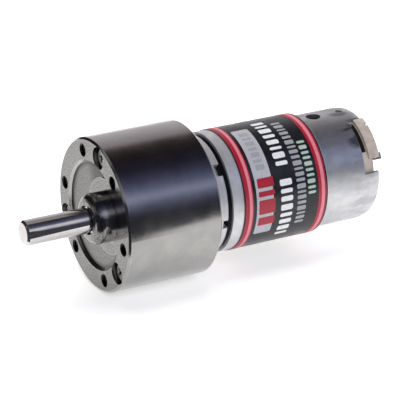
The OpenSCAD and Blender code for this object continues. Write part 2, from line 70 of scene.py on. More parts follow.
mounts = {m["name"]: m for m in frame["record"]["mounts"]}
gearbox_r = reach("gear_housing")
joint_x = span("gear_housing")[1]
floor_z = -gearbox_r
shaft_axis = tuple(mounts["output_shaft"]["pos_m"][1:])
face_turn = math.atan2(shaft_axis[1], shaft_axis[0])
hole_ring_r = mounts["face_holes"]["dims"]["pcd_mm"] / 2 * MM
hole_r = mounts["face_holes"]["dims"]["hole_r_mm"] * MM
label_r = reach("label_sleeve")
label_back, label_front = span("label_sleeve")
can_r = -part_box("motor_can")[0].y
can_back = span("motor_can")[0]
flux_front = span("flux_ring")[1]
gap_front = span("motor_adapter")[0]
gear_axis = centre("gear_pin_1")

cap_face = can_back - 0.3 * MM

# Places on the CAD's shapes that the frame doesn't state; angles are in radians from +Y towards +Z.
HOLE_STEP = math.radians(60)
HOLE_MOUTH_R = hole_r + 0.35 * MM  # outer rim of a tapped hole's countersink
HOLES_BACK = -9 * MM  # the painted shade of the tapped holes isn't drawn behind this
RECESS_R = 12.75 * MM
RECESS_FLOOR_X = -0.8 * MM
RECESS_TIP_ANGLE = 1.45  # where the crescent left by the collar is narrow
BOSS_ROUND_X = 3 * MM  # where the shaft boss's side starts to round over
CAN_WALL = 1 * MM
CAN_CUT_ANGLE = 0.95  # middle of the can's upper cut-out
CAP_WINDOW_X = (-68 * MM, -65.8 * MM)
CAP_WINDOW_ANGLES = (0.555, 1.205)


def around(x, r, angle):
    """A point at radius r about the motor axis; angle goes from +Y towards +Z, in radians."""
    return Vector((x, r * math.cos(angle), r * math.sin(angle)))


# ---------------------------------------------------------------- node graphs


class Graph:
    """Short calls for building the nodes of a material or of the world."""

    def __init__(self, owner):
        owner.use_nodes = True
        self.tree = owner.node_tree
        self.tree.nodes.clear()

    def add(self, kind, sockets=None, **settings):
        node = self.tree.nodes.new("ShaderNode" + kind)
        for key, value in settings.items():
            setattr(node, key, value)
        for key, value in (sockets or {}).items():
            self.join(value, node.inputs[key])
        return node

    def join(self, value, socket):
        if isinstance(value, bpy.types.NodeSocket):
            self.tree.links.new(value, socket)
        elif socket.type == "RGBA":
            socket.default_value = (*value[:3], 1)
        else:
            socket.default_value = value

    def math(self, operation, a, b=0.0):
        return self.add("Math", {0: a, 1: b}, operation=operation).outputs[0]

    def times(self, a, b):
        return self.math("MULTIPLY", a, b)

    def plus(self, a, b):
        return self.math("ADD", a, b)

    def minus(self, a, b):
        return self.math("SUBTRACT", a, b)

    def distance(self, a, b):
        return self.math("ABSOLUTE", self.minus(a, b))

    def remap(self, value, low, high, new_low=0.0, new_high=1.0):
        sockets = {"Value": value, "From Min": low, "From Max": high, "To Min": new_low,
                   "To Max": new_high}
        return self.add("MapRange", sockets, interpolation_type="SMOOTHSTEP").outputs[0]

    def vary(self, noise, low=0.0, high=1.0):
        """A noise stretched from its usual range to low and high."""
        return self.remap(noise, 0.3, 0.7, low, high)

    def mix(self, factor, a, b):
        return self.add("Mix", {0: factor, 6: a, 7: b}, data_type="RGBA").outputs[2]

    def scale_colour(self, colour, factor):
        node = self.add("VectorMath", {0: colour, "Scale": factor}, operation="SCALE")
        return node.outputs[0]

    def place(self):
        return self.add("TexCoord").outputs["Object"]

    def vector(self, x, y, z):
        return self.add("CombineXYZ", {0: x, 1: y, 2: z}).outputs[0]

    def polar(self, axis=(0.0, 0.0)):
        """X, radius and angle about a line along X through axis, at the shaded point."""
        split = self.add("SeparateXYZ", {0: self.place()})
        y = self.minus(split.outputs[1], axis[0])
        z = self.minus(split.outputs[2], axis[1])
        squares = self.plus(self.times(y, y), self.times(z, z))
        return split.outputs[0], self.math("SQRT", squares), self.math("ARCTAN2", z, y)

    def noise(self, vector, size, detail=3.0, roughness=0.55):
        """Noise whose features are about size metres across."""
        sockets = {"Vector": vector, "Scale": 1 / size, "Detail": detail, "Roughness": roughness}
        return self.add("TexNoise", sockets).outputs[0]

    def specks(self, size, share):
        """1 on small scattered spots about size metres across, 0 elsewhere."""
        cells = self.add("TexVoronoi", {"Vector": self.place(), "Scale": 1 / size})
        return self.remap(cells.outputs["Distance"], share, share * 0.5)

    def edges(self, width):
        """1 on outer and inner edges, within about width metres of them."""
        rounded = self.add("Bevel", {"Radius": width}, samples=4).outputs[0]
        flat = self.add("NewGeometry").outputs["Normal"]
        likeness = self.add("VectorMath", {0: rounded, 1: flat}, operation="DOT_PRODUCT").outputs["Value"]
        return self.remap(likeness, 0.995, 0.9)

    def mounting_holes(self, r, angle):
        """1 inside the six tapped holes and on their countersinks, 0 outside."""
        turned = self.minus(angle, face_turn - 2 * math.pi)
        off = self.minus(self.math("FLOORED_MODULO", turned, HOLE_STEP), HOLE_STEP / 2)
        aside = self.times(off, r)
        out = self.minus(r, hole_ring_r)
        squares = self.plus(self.times(aside, aside), self.times(out, out))
        return self.remap(self.math("SQRT", squares), HOLE_MOUTH_R + 0.12 * MM, HOLE_MOUTH_R - 0.05 * MM)

    def creases(self, distance):
        """Where painted shade goes: 1 deep in holes and grooves narrower than about distance metres, 0 in
        the open.
        """
        open_share = self.add("AmbientOcclusion", {"Distance": distance}, samples=8).outputs["AO"]
        return self.remap(open_share, 0.45, 0.1)

    def bump(self, height, depth, normal=None):
        sockets = {"Height": height, "Distance": depth, "Strength": 1.0}
        if normal is not None:
            sockets["Normal"] = normal
        return self.add("Bump", sockets).outputs[0]

    def surface(self, **inputs):
        """The closing Principled shader; Base_Color=... sets the input Base Color."""
        sockets = {key.replace("_", " "): value for key, value in inputs.items()}
        shader = self.add("BsdfPrincipled", sockets)
        self.add("OutputMaterial", {0: shader.outputs[0]})


# ---------------------------------------------------------------- materials


def scaled(colour, factor):
    """A colour made darker or paler, never past white."""
    return tuple(min(1.0, c * factor) for c in colour)


def turning_marks(g, axis, pitch):
    """Fine rings left by a lathe: they vary along X on round walls and with the radius on faces."""
    x, r, angle = g.polar(axis)
    arc = g.times(angle, 2 * pitch)
    fine = g.noise(g.vector(x, r, arc), pitch, 2.0)
    broad = g.noise(g.vector(x, r, arc), pitch * 5, 1.0)
    return g.plus(g.times(fine, 0.6), g.times(broad, 0.4))


def metal(name, colour, roughness, axis=(0.0, 0.0), pitch=0.25 * MM, cloud=5 * MM, stain=0.12,
          grain=0.0, wear=0.25, sheen=1.0):
    """Turned or rolled metal: ring marks, cloudy tarnish, fine pits, rubbed edges, painted shade in
    creases.
    """
    material = bpy.data.materials.new(name)
    g = Graph(material)
    rings = turning_marks(g, axis, pitch)
    clouds = g.noise(g.place(), cloud, 4.0)
    pits = g.noise(g.place(), 0.12 * MM, 2.0)
    rubbed = g.edges(0.15 * MM)
    shade = g.plus(g.vary(clouds, 1 - stain, 1.0), g.vary(rings, -0.04, 0.04))
    # painted shade: the colour is darkened deep in creases and holes
    crease_shaded = g.mix(g.creases(1.5 * MM), g.scale_colour(colour, shade), scaled(colour, 0.08))
    base = g.mix(g.times(rubbed, wear), crease_shaded, (0.9, 0.9, 0.88))
    uneven = g.plus(g.vary(clouds, 0.06, -0.03), g.vary(rings, -0.03, 0.03))
    rough = g.plus(uneven, roughness)
    height = g.plus(rings, g.times(pits, grain))
    g.surface(Base_Color=base, Metallic=sheen, Roughness=rough, Normal=g.bump(height, 1.5e-6))
    return material


def recess_floor(g, x, r):
    """1 on the floor of the round recess in the gearbox's face, 0 elsewhere."""
    inside = g.remap(r, RECESS_R + 0.1 * MM, RECESS_R - 0.05 * MM)
    above = g.remap(x, RECESS_FLOOR_X - 0.3 * MM, RECESS_FLOOR_X - 0.15 * MM)
    below = g.remap(x, RECESS_FLOOR_X + 0.3 * MM, RECESS_FLOOR_X - 0.05 * MM)
    return g.times(inside, g.times(above, below))


def recess_shade(g, r, angle):
    """Dims the recess floor along its wall and in the crescent's narrow tip."""
    by_wall = g.remap(r, RECESS_R - 1.55 * MM, RECESS_R - 0.05 * MM, 1.0, 0.35)
    by_tip = g.remap(g.distance(angle, RECESS_TIP_ANGLE), 0.6, 0.1, 1.0, 0.35)
    return g.times(by_wall, by_tip)


def flat_front(g, x, r):
    """1 on the gearbox's flat front, inside its bevelled edge."""
    in_front = g.remap(x, -0.08 * MM, -0.02 * MM)
    return g.times(in_front, g.remap(r, gearbox_r - 0.2 * MM, gearbox_r - 0.4 * MM))


def boss_side(g, x):
    """1 on the straight side of the shaft boss, which is turned brighter."""
    past_foot = g.remap(x, 0.1 * MM, 0.3 * MM)
    return g.times(past_foot, g.remap(x, BOSS_ROUND_X + 0.4 * MM, BOSS_ROUND_X - 0.6 * MM))


def gearbox_hole_shade(g, x, r, angle):
    """Where painted shade goes: 1 in the tapped holes and deep in the screw holes, 0 in the open."""
    in_plate = g.remap(x, HOLES_BACK, HOLES_BACK + 1 * MM)
    holes = g.times(g.mounting_holes(r, angle), in_plate)
    return g.math("MAXIMUM", g.creases(2.5 * MM), holes)


def gearbox_metal(name):
    """Turned grey metal: darker on the flat front, gritty on the recess floor, with painted shade in the
    holes.
    """
    material = bpy.data.materials.new(name)
    g = Graph(material)
    rings = turning_marks(g, (0.0, 0.0), 0.22 * MM)
    clouds = g.noise(g.place(), 6 * MM, 4.0)
    grit = g.noise(g.place(), 0.4 * MM, 3.0, 0.75)
    x, r, angle = g.polar()
    floor = recess_floor(g, x, r)
    face = g.math("MAXIMUM", flat_front(g, x, r), floor)
    seam = g.remap(g.distance(x, joint_x), 0.1 * MM, 0.5 * MM)
    rubbed = g.times(g.edges(0.22 * MM), seam)
    tint = g.mix(g.remap(clouds, 0.35, 0.65), (0.335, 0.33, 0.32), (0.385, 0.375, 0.36))
    skin = g.scale_colour(tint, g.vary(grit, 0.94, 1.04))
    front = g.scale_colour(tint, g.remap(grit, 0.38, 0.62, 0.3, 0.8))
    recessed = g.mix(floor, front, g.scale_colour(front, recess_shade(g, r, angle)))
    even = g.mix(boss_side(g, x), g.mix(face, skin, recessed), (0.56, 0.54, 0.535))
    edged = g.mix(g.times(rubbed, 0.5), even, (0.80, 0.79, 0.77))
    # painted shade: near black in the tapped holes and deep in the screw holes
    base = g.mix(gearbox_hole_shade(g, x, r, angle), edged, (0.02, 0.02, 0.022))
    fine = g.plus(g.vary(clouds, -0.02, 0.05), g.vary(grit, -0.02, 0.04))
    rough = g.plus(g.plus(fine, 0.17), g.times(floor, 0.22))
    ringed = g.bump(rings, 2.2e-6)
    tooth = g.times(grit, g.plus(g.times(face, 3.0), 5.0))
    g.surface(Base_Color=base, Metallic=1.0, Roughness=rough, Normal=g.bump(tooth, 1.2e-6, ringed))
    return material


def rim_darkening(g, x, angle, smears):
    """Darker smeared patches on the can's rear rim, most of them near one cut-out."""
    near_cut = g.remap(g.distance(angle, CAN_CUT_ANGLE), 0.8, 0.35, 0.15, 1.0)
    near_rim = g.times(g.remap(x, can_back + 8.1 * MM, can_back + 5.6 * MM), near_cut)
    return g.times(near_rim, g.remap(smears, 0.52, 0.42))


def adapter_gap_shade(g, x):
    """Where painted shade goes: 1 in the narrow gap between the flux ring and the motor adapter, 0
    elsewhere.
    """
    behind_adapter = g.remap(x, gap_front + 0.2 * MM, gap_front)
    return g.times(g.remap(x, flux_front - 0.2 * MM, flux_front), behind_adapter)


def can_metal(name):
    """Drawn steel with thin nickel plate: long draw lines along the axis, faint smears, darker patches by
    the rear rim, and painted shade in the gap behind the adapter and in creases.
    """
    material = bpy.data.materials.new(name)
    g = Graph(material)
    x, r, angle = g.polar()
    arc = g.times(angle, can_r)
    lines = g.noise(g.vector(g.times(x, 0.06), arc, r), 0.3 * MM, 2.0)
    clouds = g.noise(g.place(), 4 * MM, 5.0)
    smears = g.noise(g.vector(g.times(x, 0.4), arc, r), 3 * MM, 4.0)
    rubbed = g.edges(0.2 * MM)
    tint = g.mix(g.remap(clouds, 0.35, 0.65), (0.52, 0.53, 0.55), (0.60, 0.60, 0.60))
    rim_dark = g.times(rim_darkening(g, x, angle, smears), 0.6)
    skin = g.scale_colour(tint, g.minus(g.remap(smears, 0.35, 0.6, 0.9, 1.02), rim_dark))
    edged = g.mix(g.times(rubbed, 0.4), skin, (0.9, 0.9, 0.9))
    # painted shade: near black in the gap behind the adapter and deep in creases
    dark = g.math("MAXIMUM", adapter_gap_shade(g, x), g.creases(1.5 * MM))
    base = g.mix(dark, edged, (0.02, 0.022, 0.026))
    rough = g.plus(g.vary(smears, 0.46, 0.38), g.vary(lines, -0.02, 0.03))
    rolled = g.bump(lines, 1.5e-6)
    g.surface(Base_Color=base, Metallic=0.9, Roughness=rough, Normal=g.bump(clouds, 8e-6, rolled))
    return material


def polished_metal(name):
    """Ground and polished shaft steel: faint grinding rings and light rubbing."""
    material = bpy.data.materials.new(name)
    g = Graph(material)
    rings = turning_marks(g, shaft_axis, 0.12 * MM)
    clouds = g.noise(g.place(), 2.5 * MM, 3.0)
    rubbed = g.edges(0.1 * MM)
    tint = g.mix(g.vary(clouds), (0.54, 0.52, 0.515), (0.60, 0.585, 0.575))
    base = g.mix(g.times(rubbed, 0.5), tint, (0.95, 0.95, 0.95))
    rough = g.plus(g.vary(clouds, 0.015, 0.04), g.vary(rings, 0.0, 0.02))
    g.surface(Base_Color=base, Metallic=0.97, Roughness=rough, Normal=g.bump(rings, 0.5e-6))
    return material


def film(name):
    """Black printed film: glossy, with soft waves from the wrapping and a little dust."""
    material = bpy.data.materials.new(name)
    g = Graph(material)
    waves = g.noise(g.place(), 3 * MM, 2.0)
    peel = g.noise(g.place(), 0.25 * MM, 2.0)
    dust = g.times(g.specks(0.7 * MM, 0.08), 0.25)
    rubbed = g.edges(0.08 * MM)
    tint = g.mix(g.vary(waves), (0.008, 0.008, 0.011), (0.016, 0.015, 0.018))
    dusty = g.mix(dust, tint, (0.12, 0.12, 0.12))
    base = g.mix(g.times(rubbed, 0.3), dusty, (0.2, 0.2, 0.2))
    rough = g.vary(waves, 0.26, 0.38)
    height = g.plus(g.times(waves, 4.0), peel)
    g.surface(Base_Color=base, Roughness=rough, Specular_IOR_Level=0.4, Normal=g.bump(height, 2e-6))
    return material


def ink(name, colour, depth=0.12):
    """Screen-printed ink on the film: slightly uneven cover and a matt tooth."""
    material = bpy.data.materials.new(name)
    g = Graph(material)
    cover = g.noise(g.place(), 0.35 * MM, 3.0)
    clouds = g.noise(g.place(), 2.5 * MM, 3.0)
    pinholes = g.specks(0.45 * MM, 0.09)
    shade = g.plus(g.vary(cover, -depth, 0.0), g.vary(clouds, 0.94, 1.0))
    rubbed = g.edges(0.05 * MM)
    base = g.mix(g.times(pinholes, 0.5), g.scale_colour(colour, shade), (0.03, 0.03, 0.03))
    worn = g.mix(g.times(rubbed, 0.2), base, (0.1, 0.1, 0.1))
    rough = g.vary(cover, 0.36, 0.5)
    g.surface(Base_Color=worn, Roughness=rough, Normal=g.bump(cover, 3e-6))
    return material


def cap_window_shade(g):
    """Where painted shade goes: 1 on the walls of the end cap's two side openings, 0 elsewhere."""
    x, r, angle = g.polar()
    soft, soft_turn = 0.05 * MM, 0.015
    back, front = CAP_WINDOW_X
    along = g.times(g.remap(x, back - soft, back + soft), g.remap(x, front + soft, front - soft))
    half_turn = g.math("FLOORED_MODULO", angle, math.pi)
    low, high = CAP_WINDOW_ANGLES
    past_low = g.remap(half_turn, low - soft_turn, low + soft_turn)
    across = g.times(past_low, g.remap(half_turn, high + soft_turn, high - soft_turn))
    under_can = g.remap(r, can_r - CAN_WALL + soft, can_r - CAN_WALL - soft)
    return g.times(g.times(along, across), under_can)


def plastic(name, colour, dark, roughness=0.42, peel_size=0.4 * MM, peel_depth=6e-6, subsurface=0.0,
            painted_shade_zone=None):
    """Moulded plastic: orange peel, sink marks, dirt in patches, paler rubbed edges, and painted shade in
    creases and in an optional zone.
    """
    material = bpy.data.materials.new(name)
    g = Graph(material)
    peel = g.noise(g.place(), peel_size, 2.0)
    clouds = g.noise(g.place(), 2.2 * MM, 4.0)
    dirt = g.specks(0.9 * MM, 0.1)
    rubbed = g.edges(0.15 * MM)
    tint = g.mix(g.remap(clouds, 0.35, 0.7), colour, dark)
    dirty = g.mix(g.times(dirt, 0.35), tint, dark)
    # painted shade: darkened in creases and, for the end cap, on the walls of its side openings
    deep = g.math("MAXIMUM", g.creases(1.2 * MM), painted_shade_zone(g)) if painted_shade_zone else g.creases(1.2 * MM)
    lined = g.mix(deep, dirty, scaled(dark, 0.12))
    base = g.mix(g.times(rubbed, 0.3), lined, scaled(colour, 1.25))
    rough = g.plus(g.vary(clouds, -0.05, 0.08), roughness)
    height = g.plus(peel, g.times(clouds, 3.0))
    g.surface(Base_Color=base, Roughness=rough, Normal=g.bump(height, peel_depth),
              Subsurface_Weight=subsurface, Subsurface_Radius=(0.0008, 0.0006, 0.0004))
    return material


def porous(name, colour, dark, metallic):
    """Pressed powder, such as sintered bronze, ferrite or carbon: open pores and oily patches."""
    material = bpy.data.materials.new(name)
    g = Graph(material)
    pores = g.specks(0.25 * MM, 0.22)
    grains = g.noise(g.place(), 0.15 * MM, 3.0, 0.7)
    clouds = g.noise(g.place(), 2 * MM, 3.0)
    rubbed = g.edges(0.15 * MM)
    tint = g.mix(g.remap(clouds, 0.35, 0.65), dark, colour)
    pored = g.mix(g.times(pores, 0.8), tint, scaled(dark, 0.3))
    base = g.mix(g.times(rubbed, 0.4), pored, scaled(colour, 1.5))
    rough = g.plus(g.vary(grains, 0.4, 0.62), g.vary(clouds, -0.08, 0.05))
    height = g.minus(grains, pores)
    g.surface(Base_Color=base, Metallic=metallic, Roughness=rough, Normal=g.bump(height, 8e-6))
    return material


def layered(name, colour, dark, sheet, metallic, roughness):
    """Stacked sheets or wound wire: dark joints every sheet metres along X."""
    material = bpy.data.materials.new(name)
    g = Graph(material)
    x = g.polar()[0]
    wobble = g.times(g.noise(g.place(), 2 * MM, 2.0), 0.15 * sheet)
    phase = g.math("FRACT", g.math("DIVIDE", g.plus(x, wobble), sheet))
    crest = g.minus(1.0, g.distance(g.times(phase, 2.0), 1.0))
    joint = g.remap(crest, 0.25, 0.02)
    clouds = g.noise(g.place(), 1.5 * MM, 3.0)
    rubbed = g.edges(0.1 * MM)
    tint = g.mix(g.vary(clouds), colour, tuple((a + b) / 2 for a, b in zip(colour, dark)))
    lined = g.mix(g.times(joint, 0.8), tint, dark)
    base = g.mix(g.times(rubbed, 0.25), lined, scaled(colour, 1.4))
    rough = g.plus(g.vary(clouds, -0.05, 0.08), roughness)
    g.surface(Base_Color=base, Metallic=metallic, Roughness=rough, Normal=g.bump(crest, 0.06 * sheet))
    return material


METALS = {
    "screw_steel": dict(colour=(0.40, 0.39, 0.34), roughness=0.36, pitch=0.15 * MM, stain=0.35,
                        wear=0.4),
    "zinc_plate": dict(colour=(0.66, 0.66, 0.67), roughness=0.45, pitch=0.5 * MM, cloud=3 * MM,
                       stain=0.16, sheen=0.62),
    "ground_steel": dict(colour=(0.7, 0.71, 0.73), roughness=0.15, axis=gear_axis, pitch=0.1 * MM),
    "gear_steel": dict(colour=(0.42, 0.42, 0.44), roughness=0.24, axis=gear_axis, pitch=0.2 * MM,
                       grain=0.6),
    "brass": dict(colour=(0.72, 0.52, 0.22), roughness=0.25, axis=gear_axis, pitch=0.2 * MM,
                  cloud=3 * MM, stain=0.2),
    "spring_steel": dict(colour=(0.24, 0.24, 0.27), roughness=0.3, pitch=0.3 * MM, stain=0.3),
    "phosphor_bronze": dict(colour=(0.62, 0.38, 0.19), roughness=0.28, pitch=0.3 * MM, stain=0.25),
    "tinned_brass": dict(colour=(0.46, 0.43, 0.34), roughness=0.34, cloud=1.2 * MM, stain=0.45,
                         grain=1.5),
    "copper": dict(colour=(0.78, 0.40, 0.25), roughness=0.22, pitch=0.15 * MM, stain=0.3),
    # near black: thread oil plus painted shade inside the tapped holes
    "oily_thread": dict(colour=(0.035, 0.034, 0.034), roughness=0.45, pitch=0.1 * MM, wear=0.05),
}

PLASTICS = {
    "cream_nylon": dict(colour=(0.54, 0.47, 0.415), dark=(0.42, 0.345, 0.29), subsurface=0.08,
                        painted_shade_zone=cap_window_shade),
    "washer_nylon": dict(colour=(0.78, 0.78, 0.72), dark=(0.55, 0.55, 0.48), subsurface=0.1),
    "red_fibre": dict(colour=(0.35, 0.10, 0.05), dark=(0.18, 0.05, 0.03), roughness=0.55,
                      peel_size=0.2 * MM, peel_depth=1e-5),
    "dark_resin": dict(colour=(0.06, 0.028, 0.018), dark=(0.03, 0.015, 0.01), roughness=0.35),
}

POWDERS = {
    "sintered_bronze": dict(colour=(0.36, 0.28, 0.18), dark=(0.17, 0.13, 0.085), metallic=1.0),
    "ferrite": dict(colour=(0.06, 0.06, 0.065), dark=(0.03, 0.03, 0.035), metallic=0.3),
    "carbon": dict(colour=(0.035, 0.035, 0.04), dark=(0.015, 0.015, 0.018), metallic=0.4),
}

LAYERS = {
    "lamination": dict(colour=(0.36, 0.36, 0.38), dark=(0.05, 0.045, 0.04), sheet=0.5 * MM,
                       metallic=1.0, roughness=0.35),
    "enamelled_copper": dict(colour=(0.55, 0.2, 0.07), dark=(0.1, 0.03, 0.01), sheet=0.32 * MM,
                             metallic=0.9, roughness=0.22),
}

INKS = {
    "ink_red": dict(colour=(0.38, 0.010, 0.028)),
    "ink_pink": dict(colour=(0.76, 0.22, 0.27)),
    "ink_silver": dict(colour=(0.47, 0.47, 0.50), depth=0.16),
    "ink_white": dict(colour=(0.80, 0.82, 0.82)),
    "ink_grey": dict(colour=(0.34, 0.36, 0.37)),
    "ink_green": dict(colour=(0.42, 0.56, 0.47)),
}


def make_materials():
    """One material for each slot of the record, one for each ink and one for the threads."""
    made = {
        "die_cast": gearbox_metal("die_cast"),
        "turned_steel": gearbox_metal("turned_steel"),
        "motor_steel": can_metal("motor_steel"),
        "polished_steel": polished_metal("polished_steel"),
        "label_film": film("label_film"),
    }
    kinds = ((metal, METALS), (plastic, PLASTICS), (porous, POWDERS), (layered, LAYERS), (ink, INKS))
    for make, table in kinds:
        for name, settings in table.items():
            made[name] = make(name, **settings)
    return made


def dress(materials):
    """Gives every carried-over CAD node the material of its slot in the record."""
    for part in frame["record"]["subparts"]:
        mesh = nodes[part["node"]].data
        mesh.materials.clear()
        mesh.materials.append(materials[part["material_slot"]])


# ---------------------------------------------------------------- pieces added to the frame


def piece(name, mesh, material, smooth_angle=30):
    """Links a finished bmesh as a piece that rides on the motor's body."""
    bmesh.ops.recalc_face_normals(mesh, faces=mesh.faces)
    data = bpy.data.meshes.new(name)
    mesh.to_mesh(data)
    mesh.free()
    data.materials.append(material)
    data.shade_smooth()
    data.set_sharp_from_angle(angle=math.radians(smooth_angle))
    obj = bpy.data.objects.new(name, data)
    bpy.context.scene.collection.objects.link(obj)
    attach(obj, BODY)


def loft(mesh, rings):
    """Joins rings of points into one closed skin with flat ends."""
    made = [[mesh.verts.new(p) for p in ring] for ring in rings]
    for a, b in zip(made, made[1:]):
        for i in range(len(a)):
            j = (i + 1) % len(a)
            mesh.faces.new((a[i], a[j], b[j], b[i]))
    mesh.faces.new(made[0][::-1])
    mesh.faces.new(made[-1])


def wrapped(x, r, thick, angle):
    """The cross-section at one angle of a thin sheet wrapped on a cylinder, from x[0] to x[1]."""
    corners = ((x[0], r), (x[1], r), (x[1], r + thick), (x[0], r + thick))
    return [around(place, radius, angle) for place, radius in corners]


CORNER_STEPS = (0.15, 0.4, 0.7, 1.0)


def corner_loss(corner, near):
    """How far a rounded corner draws in a sheet's side at a distance near from its end."""
    left = max(0.0, corner - near)
    return corner - math.sqrt(max(0.0, corner**2 - left**2))


def patch(mesh, x, degrees, r, thick, corner=0.0):
    """A thin sheet wrapped on a cylinder, from x[0] to x[1] and between two angles.
    With a corner radius, its ends narrow in a quarter circle as print does."""
    start, end = (math.radians(d) for d in sorted(degrees))
    count = max(2, math.ceil((end - start) / math.radians(2)))
    angles = [start + (end - start) * i / count for i in range(count + 1)]
    if corner:
        turns = [0, *(corner * step / r for step in CORNER_STEPS)]
        ends = {start + t for t in turns} | {end - t for t in turns}
        angles = [a for a in sorted(set(angles[1:-1]) | ends) if start <= a <= end]
    rings = []
    for a in angles:
        lost = corner_loss(corner, min(a - start, end - a) * r)
        rings.append(wrapped((x[0] + lost, x[1] - lost), r, thick, a))
    loft(mesh, rings)


INK_T = 0.02 * MM
INK_LIFT = 0.004 * MM


def print_patches(name, material, patches, corner=0.0, layer=0):
    """One printing ink: every patch is ((x from, x to), (angle from, angle to)) in mm and degrees."""
    mesh = bmesh.new()
    r = label_r + INK_LIFT + layer * INK_T
    for x, degrees in patches:
        patch(mesh, (x[0] * MM, x[1] * MM), degrees, r, INK_T, corner * MM)
    piece(name, mesh, material)


def bars(x, start, end, widths, gap):
    """Bars of the given widths, in degrees, repeated from start down to end with gaps between them."""
    made = []
    at = start
    for width in itertools.cycle(widths):
        if at - width < end:
            return made
        made.append((x, (at - width, at)))
        at -= width + gap


WHOLE_TURN = (-92, 266)  # degrees; the ends stop under the label's overlap


def label_print(materials):
    """Plain marks on the label: border lines, a panel with blocks, and three rows of bars."""
    front, back = label_front / MM, label_back / MM
    dark_lines = [(front - 2.45, front - 0.35), (back + 0.4, back + 2.5)]
    light_lines = [(front - 2.15, front - 1.35), (back + 0.8, back + 1.7)]
    dark, light = ([(x, WHOLE_TURN) for x in lines] for lines in (dark_lines, light_lines))
    print_patches("label_dark_lines", materials["ink_red"], dark)
    print_patches("label_light_lines", materials["ink_pink"], light, layer=1)
    panel = (front - 7.9, front - 3.3)
    print_patches("label_panel", materials["ink_silver"], [(panel, (-30, 84))], 0.5)
    block = (panel[0] - 0.4, panel[1] - 0.6)
    blocks = bars(block, 27, -30, [9, 5, 14, 9], 3.2)
    print_patches("label_blocks", materials["ink_red"], blocks, 0.3, 1)
    inner = (panel[0] + 1.0, panel[1] - 1.2)
    panel_bars = bars(inner, 78, 34, [5, 3], 2.4)
    print_patches("label_panel_bars", materials["ink_grey"], panel_bars, 0.2, 1)
    row_1 = (front - 13.15, front - 9.9)
    heavy = bars(row_1, 92, 34, [5, 3, 6, 4], 3) + bars(row_1, 22, -41, [6, 4, 5], 3)
    print_patches("label_row_1", materials["ink_white"], heavy, 0.4)
    row_2 = (front - 16.8, front - 14.4)
    fine = bars(row_2, 85, -31, [3, 4.5, 2.2, 3.6], 2.1)
    print_patches("label_row_2", materials["ink_grey"], fine, 0.3)
    row_3 = (front - 19.5, front - 17.4)
    short = bars(row_3, 55, 0, [2.6, 4, 2.6], 2.4)
    print_patches("label_row_3", materials["ink_green"], short, 0.3)


OVERLAP_TURN = (math.radians(-100), math.radians(-86))
OVERLAP_STEPS = 12
LIFTED_STEPS = 3


def label_seam(materials):
    """The label's end lies over its start, underneath, with a lifted edge."""
    mesh = bmesh.new()
    start, end = OVERLAP_TURN
    x = (label_back + 0.02 * MM, label_front - 0.05 * MM)
    rings = []
    for i in range(OVERLAP_STEPS + 1):
        a = start + (end - start) * i / OVERLAP_STEPS
        lifted = max(0, i - OVERLAP_STEPS + LIFTED_STEPS) / LIFTED_STEPS
        r = label_r + (0.03 + 0.09 * lifted) * MM
        rings.append(wrapped(x, r, 0.1 * MM, a))
    loft(mesh, rings)
    piece("label_overlap", mesh, materials["label_film"])


THREAD_PITCH = 0.5 * MM
THREAD_DEPTH = 0.12 * MM
THREAD_START_X = -0.75 * MM
THREAD_TURNS = 7
THREAD_STEPS = 20  # per turn


def thread(mesh, y, z):
    """One screw ridge that winds back along the wall of the tapped hole at y, z."""
    half = Vector((0.45 * THREAD_PITCH, 0, 0))
    rings = []
    for i in range(THREAD_STEPS * THREAD_TURNS + 1):
        a = 2 * math.pi * i / THREAD_STEPS
        out = Vector((0, math.cos(a), math.sin(a)))
        mid = Vector((THREAD_START_X - THREAD_PITCH * i / THREAD_STEPS, y, z))
        crest = mid + out * (hole_r - THREAD_DEPTH)
        root = mid + out * (hole_r + 0.02 * MM)
        rings.append([root - half, crest - half * 0.2, crest + half * 0.2, root + half])
    loft(mesh, rings)


def hole_threads(materials):
    """The thread ridges that show in the mouths of the six tapped holes."""
    mesh = bmesh.new()
    for hole in range(6):
        turn = face_turn + math.radians(30 + 60 * hole)
        thread(mesh, hole_ring_r * math.cos(turn), hole_ring_r * math.sin(turn))
    piece("hole_threads", mesh, materials["oily_thread"])


CAP_MARKS_R = 7.7 * MM
RIB_SIZE, RIB_HEIGHT = (4.6 * MM, 0.9 * MM), 0.35 * MM
CROSS_SIZE, CROSS_HEIGHT = (1.5 * MM, 0.45 * MM), 0.2 * MM


def raised_block(mesh, angle, turn, size, height):
    """A low block with sloping sides on the cap's rear face; its length lies at turn from the radius."""
    middle = around(cap_face + 0.02 * MM, CAP_MARKS_R, angle)
    along = around(0, 1, angle + turn)
    across = around(0, 1, angle + turn + math.pi / 2)
    rings = []
    for share, x in ((1.0, 0.0), (0.96, 0.7), (0.8, 1.0)):
        u, v = along * size[0] / 2 * share, across * size[1] / 2 * share
        top = middle + Vector((-height * x, 0, 0))
        rings.append([top + u + v, top - u + v, top - u - v, top + u - v])
    loft(mesh, rings)


def cap_details(materials):
    """Moulded ribs on the rear face of the end cap, and a plain polarity cross by one terminal."""
    nylon = materials["cream_nylon"]
    terminal = math.atan2(*reversed(centre("terminal_left")))
    mesh = bmesh.new()
    for spoke in range(6):
        raised_block(mesh, terminal + math.radians(30 + 60 * spoke), 0, RIB_SIZE, RIB_HEIGHT)
    piece("cap_ribs", mesh, nylon, 20)
    mesh = bmesh.new()
    for turn in (0, math.pi / 2):
        raised_block(mesh, terminal + math.radians(17), turn, CROSS_SIZE, CROSS_HEIGHT)
    piece("cap_polarity_cross", mesh, nylon, 20)


# ---------------------------------------------------------------- stage, light, camera


FLOOR_GLOW = 0.58


